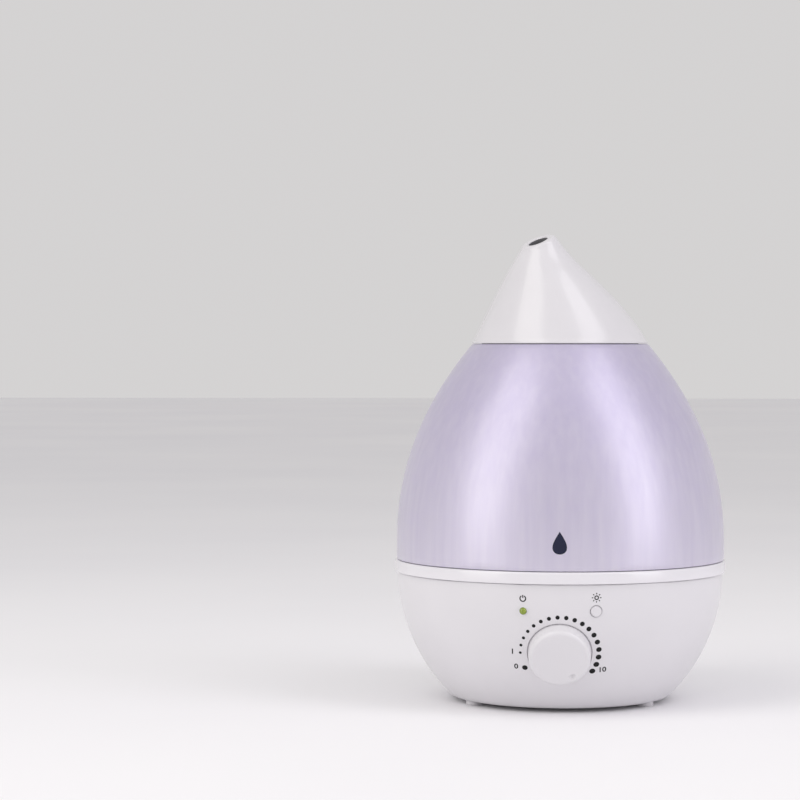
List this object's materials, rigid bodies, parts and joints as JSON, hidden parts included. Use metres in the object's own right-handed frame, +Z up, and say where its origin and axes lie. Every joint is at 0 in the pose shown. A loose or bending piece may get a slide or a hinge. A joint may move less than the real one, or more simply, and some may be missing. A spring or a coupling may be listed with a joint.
{
  "type": "cool mist humidifier",
  "caption": "Drop-shaped cool mist humidifier with a lift-off lavender water tank, a turning oblique cone lid and a round base with a control knob",
  "frame": {"origin": "on the floor under the middle of the tank and base, within the tolerance of the box's bottom centre: the knob makes the box 2.6 mm longer at the front", "axes": "+Z up, the control panel faces -Y, +X to the right when facing the panel"},
  "size_m": [0.23, 0.2328, 0.324],
  "materials": {
    "white_abs": "satin white moulded ABS",
    "rim_abs": "glossy white moulded ABS",
    "lid_abs": "glossy white moulded ABS",
    "guide_pp": "matte white moulded polypropylene",
    "cover_abs": "textured white moulded ABS",
    "tank_pc": "frosted lavender blow-moulded polycarbonate",
    "cap_pp": "moulded white polypropylene",
    "foot_rubber": "pale moulded rubber",
    "seal_rubber": "black silicone rubber",
    "screw_steel": "zinc-plated steel",
    "spring_steel": "stainless spring steel",
    "disc_metal": "plated piezo ceramic",
    "holder_metal": "die-cast aluminium",
    "duct_plastic": "grey moulded plastic",
    "fan_plastic": "black glass-filled plastic",
    "float_foam": "closed-cell float",
    "black_plastic": "black plastic",
    "window_plastic": "clear moulded plastic",
    "circuit_board": "green circuit board",
    "transformer_tape": "ferrite and yellow tape",
    "capacitor_sleeve": "blue sleeve",
    "copper_wire": "enamelled copper wire",
    "pot_metal": "nickel-plated steel",
    "lamp_lens": "tinted green lens"
  },
  "bodies": {
    "base": {"base_shell": "white_abs", "bottom_cover": "cover_abs", "rubber_feet": "foot_rubber", "cover_screws": "screw_steel", "water_basin": "rim_abs", "transducer_seal": "seal_rubber", "transducer_disc": "disc_metal", "transducer_holder": "holder_metal", "holder_screws": "screw_steel", "duct_hood": "rim_abs", "air_duct": "duct_plastic", "fan_frame": "fan_plastic", "fan_screws": "screw_steel", "float_clip": "rim_abs", "level_sensor": "black_plastic", "light_window": "window_plastic", "light_board": "circuit_board", "power_board": "circuit_board", "power_transformer": "transformer_tape", "power_capacitors": "capacitor_sleeve", "driver_board": "circuit_board", "heat_sink": "holder_metal", "driver_coil": "copper_wire", "control_board": "circuit_board", "potentiometer": "pot_metal", "pot_nut": "pot_metal", "power_light": "lamp_lens", "lamp_board": "circuit_board", "button_switch": "black_plastic", "button_board": "circuit_board", "cord_gland": "black_plastic"},
    "fan": {"fan_rotor": "fan_plastic"},
    "float": {"float": "float_foam"},
    "knob": {"knob": "white_abs", "knob_shaft": "pot_metal"},
    "button": {"light_button": "white_abs", "switch_stem": "black_plastic"},
    "tank": {"tank_shell": "tank_pc", "tank_floor": "tank_pc", "mist_chimney": "tank_pc"},
    "cap": {"fill_cap": "cap_pp", "cap_gasket": "foot_rubber", "valve_cage": "cap_pp", "valve_spring": "spring_steel"},
    "valve": {"valve_plunger": "cap_pp", "valve_seal": "seal_rubber"},
    "guide": {"mist_guide": "guide_pp"},
    "lid": {"mist_lid": "lid_abs"}
  },
  "joints": [
    {"name": "tank_lift", "type": "slide", "parent": "base", "child": "tank", "axis": [0, 0, 1], "range_m": [0, 0.28]},
    {"name": "lid_lift", "type": "slide", "parent": "tank", "child": "guide", "axis": [0, 0, 1], "range_m": [0, 0.09]},
    {"name": "nozzle_turn", "type": "hinge", "parent": "guide", "child": "lid", "pos_m": [0, 0, 0.2478], "axis": [0, 0, 1], "continuous": true},
    {"name": "cap_turn", "type": "hinge", "parent": "tank", "child": "cap", "pos_m": [0.06675, 0, 0.0838], "axis": [0, 0, 1], "range_deg": [0, 60]},
    {"name": "valve_slide", "type": "slide", "parent": "cap", "child": "valve", "axis": [0, 0, 1], "range_m": [-0.003, 0], "deforming": ["valve_spring"]},
    {"name": "float_slide", "type": "slide", "parent": "base", "child": "float", "axis": [0, 0, 1], "range_m": [0, 0.007]},
    {"name": "fan_spin", "type": "hinge", "parent": "base", "child": "fan", "pos_m": [0, 0.026, 0.035], "axis": [0, 0, 1], "continuous": true},
    {"name": "knob_turn", "type": "hinge", "parent": "base", "child": "knob", "pos_m": [0, -0.10324, 0.043], "axis": [0, -0.9199, -0.3921], "range_deg": [0, 265]},
    {"name": "button_press", "type": "slide", "parent": "base", "child": "button", "axis": [-0.2123, 0.9642, 0.1589], "range_m": [0, 0.0008], "stiffness_N_per_m": 300, "springref_m": -0.001}
  ],
  "couplings": [
    {"joint": "valve_slide", "follows": "tank_lift", "ratio": -0.010714}
  ]
}
